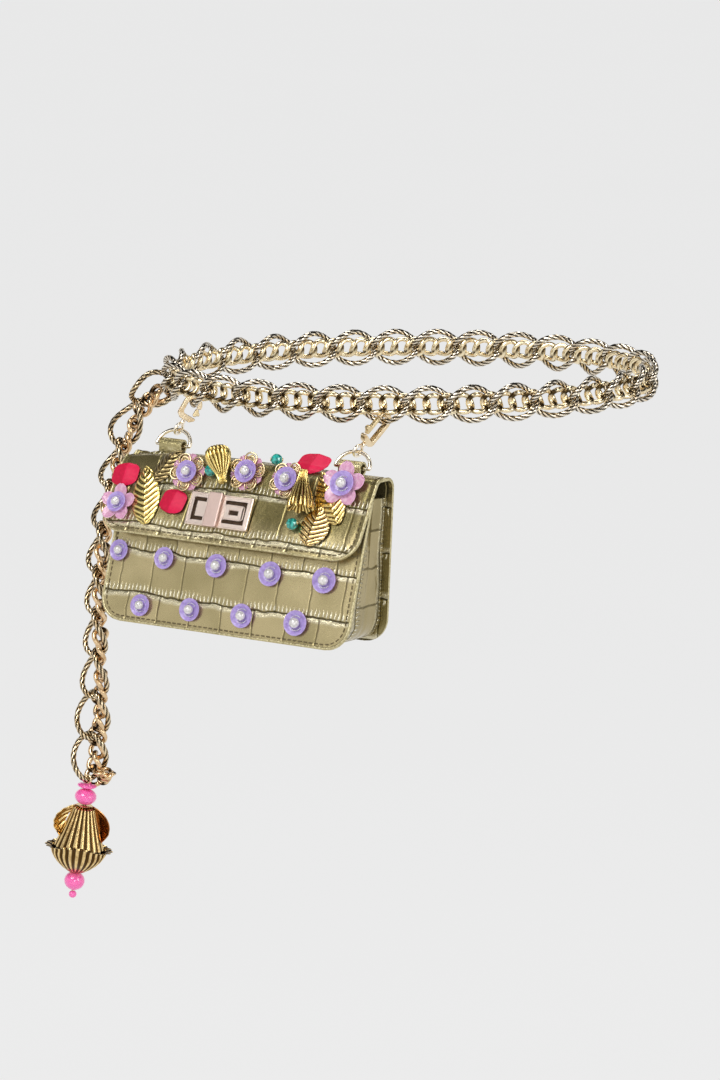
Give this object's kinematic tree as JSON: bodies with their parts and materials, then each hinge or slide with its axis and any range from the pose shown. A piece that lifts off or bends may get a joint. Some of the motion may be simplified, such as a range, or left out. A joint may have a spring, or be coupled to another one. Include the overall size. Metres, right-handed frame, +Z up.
{
  "type": "belt bag",
  "caption": "Small embossed-leather flap bag with sewn sequins and metal flowers, hung by two snap hooks from a double chain belt whose free end carries a beaded pendant.",
  "frame": {"origin": "middle of the waist, in the plane of the chain belt", "axes": "+Z up along the body, +X to the wearer's left as seen from the front, -Y to the front"},
  "size_m": [0.3502, 0.2635, 0.3114],
  "materials": {
    "leather": "embossed, metallic sheen",
    "chain": "polished pale gold plate",
    "gold": "polished gold plate",
    "dark_gold": "antique gold",
    "rose_gold": "satin rose gold plate",
    "lilac": "satin with a stitched pearl",
    "pink_petal": "clear pink",
    "red": "satin",
    "teal": "clear",
    "pink": "polished"
  },
  "bodies": {
    "bag_and_belt": {"back_and_flap": "leather", "front_panel": "leather", "gusset": "leather", "ring_tab_left": "leather", "ring_tab_right": "leather", "belt_chain": "chain", "closure_ring": "chain", "tail_chain": "chain", "inner_chain": "chain", "d_ring_left": "gold", "hook_left": "gold", "swivel_eye_left": "gold", "d_ring_right": "gold", "hook_right": "gold", "swivel_eye_right": "gold", "lock_plate": "rose_gold", "front_sequin_1": "lilac", "front_sequin_2": "lilac", "front_sequin_3": "lilac", "front_sequin_4": "lilac", "front_sequin_5": "lilac", "front_sequin_6": "lilac", "front_sequin_7": "lilac", "front_sequin_8": "lilac", "front_sequin_9": "lilac", "petals_left_corner": "pink_petal", "flower_disc_left_corner": "lilac", "petals_left": "pink_petal", "flower_disc_left": "lilac", "petals_middle": "pink_petal", "flower_disc_middle": "lilac", "petals_right": "pink_petal", "flower_disc_right": "lilac", "petals_right_corner": "pink_petal", "flower_disc_right_corner": "lilac", "filigree_left": "gold", "teal_bead_left": "teal", "filigree_middle": "gold", "teal_bead_middle": "teal", "filigree_right": "gold", "teal_bead_right": "teal", "red_petal_left": "red", "red_petal_middle": "red", "red_petal_top": "red", "leaf_left": "gold", "leaf_right": "gold", "leaf_pointed": "gold", "leaf_dark": "dark_gold", "bell_bead_left": "gold", "bell_bead_right": "gold"},
    "lock_turn": {"lock_turn": "rose_gold"},
    "gate_left": {"gate_left": "gold"},
    "gate_right": {"gate_right": "gold"},
    "pendant": {"pendant_upper_bead": "pink", "pendant_main_bead": "pink", "pendant_lower_bead": "pink", "pendant_pin": "pink", "pendant_side_petals": "dark_gold", "pendant_cone": "dark_gold", "pendant_cup": "gold"}
  },
  "joints": [
    {"name": "lock_turn", "type": "hinge", "parent": "bag_and_belt", "child": "lock_turn", "pos_m": [-0.10744, -0.10625, -0.0579], "axis": [-0.4322, -0.7779, 0.4562], "range_deg": [0, 90]},
    {"name": "gate_left_spring", "type": "hinge", "parent": "bag_and_belt", "child": "gate_left", "pos_m": [-0.12154, -0.04383, -0.01537], "axis": [0.2017, -0.9725, 0.1162], "range_deg": [0, 20], "stiffness_Nm_per_rad": 0.002, "springref_deg": -17.19},
    {"name": "gate_right_spring", "type": "hinge", "parent": "bag_and_belt", "child": "gate_right", "pos_m": [-0.02364, -0.10171, -0.01408], "axis": [-0.6935, 0.6913, 0.2029], "range_deg": [0, 20], "stiffness_Nm_per_rad": 0.002, "springref_deg": -17.19},
    {"name": "pendant_swing", "type": "hinge", "parent": "bag_and_belt", "child": "pendant", "pos_m": [-0.18486, -0.02604, -0.23087], "axis": [0.6997, 0.7077, -0.0983], "range_deg": [-20, 20]}
  ]
}
